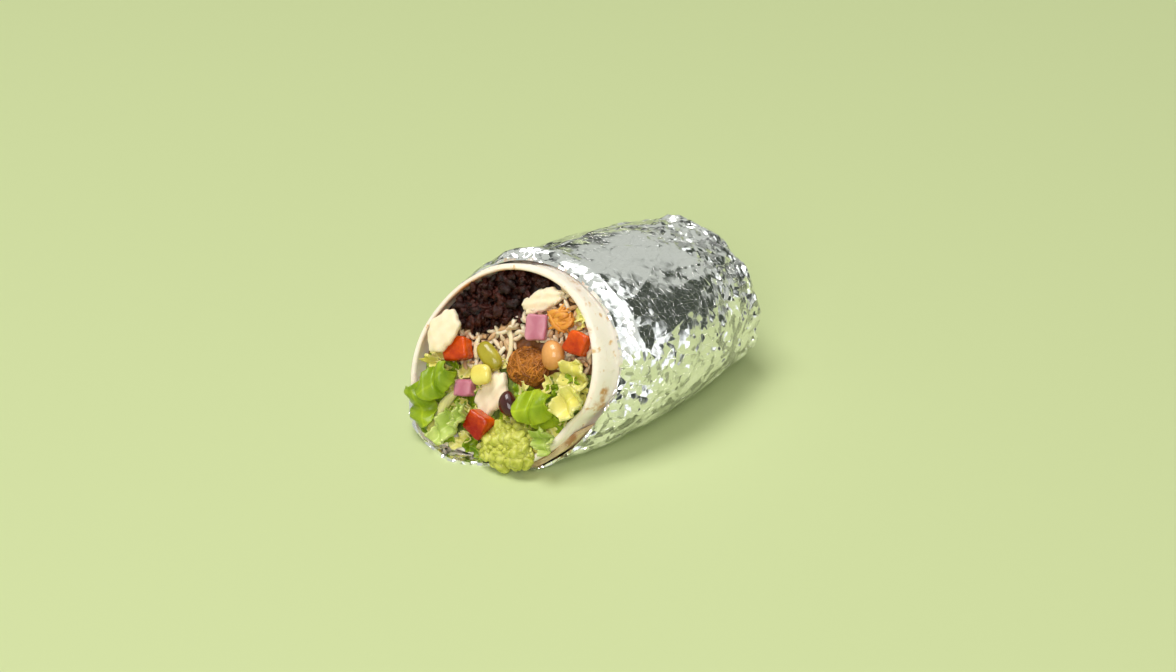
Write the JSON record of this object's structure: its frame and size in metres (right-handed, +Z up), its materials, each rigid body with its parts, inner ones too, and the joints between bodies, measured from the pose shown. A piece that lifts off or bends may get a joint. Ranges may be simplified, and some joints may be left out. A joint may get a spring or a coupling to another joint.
{
  "type": "foil-wrapped burrito",
  "caption": "Stuffed flour tortilla roll in crumpled foil, cut open at one end to show meat, rice, beans, salsa dice, sauce, guacamole and lettuce.",
  "frame": {"origin": "middle of the footprint, on the surface it lies on", "axes": "+Y along the roll from the open end to the gathered end, +Z up; the open end faces -Y and leans back"},
  "size_m": [0.0982, 0.1488, 0.0745],
  "materials": {
    "foil": "bright crumpled foil",
    "tortilla": "soft flour tortilla, pale cream with a few toast spots",
    "tortilla_lap": "soft flour tortilla, a little damp",
    "dark_meat": "moist dark ground meat",
    "pulled_meat": "moist shredded meat",
    "rice": "cooked seasoned rice",
    "guacamole": "chunky mashed avocado",
    "lettuce": "chopped lettuce",
    "sauced_shreds": "sauced shreds",
    "cream": "smooth cream sauce",
    "tomato": "wet diced tomato",
    "onion": "wet diced red onion",
    "pinto": "cooked pinto bean",
    "black_bean": "cooked black bean",
    "pepper": "pickled green pepper",
    "corn": "cooked corn kernel",
    "cheese": "shredded white cheese",
    "leaf": "crisp green lettuce leaf",
    "pale_leaf": "pale lettuce rib and heart"
  },
  "bodies": {
    "root": {"foil": "foil", "tortilla": "tortilla", "tortilla_lap": "tortilla_lap", "dark_meat": "dark_meat", "pulled_meat": "pulled_meat", "rice": "rice", "guacamole": "guacamole", "lettuce": "lettuce", "sauced_shreds": "sauced_shreds", "cream_left": "cream", "cream_top": "cream", "cream_middle": "cream", "tomato_left": "tomato", "tomato_right": "tomato", "tomato_low": "tomato", "onion_top": "onion", "onion_left": "onion", "pinto_bean": "pinto", "black_bean": "black_bean", "pepper_slice": "pepper", "corn_kernel": "corn", "cheese_shred_1": "cheese", "cheese_shred_2": "cheese", "cheese_shred_3": "cheese", "rib_low_left": "pale_leaf", "chunk_right_upper": "pale_leaf", "chunk_right_middle": "pale_leaf", "chunk_right_lower": "pale_leaf", "chunk_low_left": "pale_leaf", "chunk_low_middle": "pale_leaf", "leaf_rib_left": "pale_leaf", "leaf_middle": "leaf", "leaf_curl": "leaf", "leaf_left_upper": "leaf", "leaf_left_lower": "leaf"}
  },
  "joints": []
}
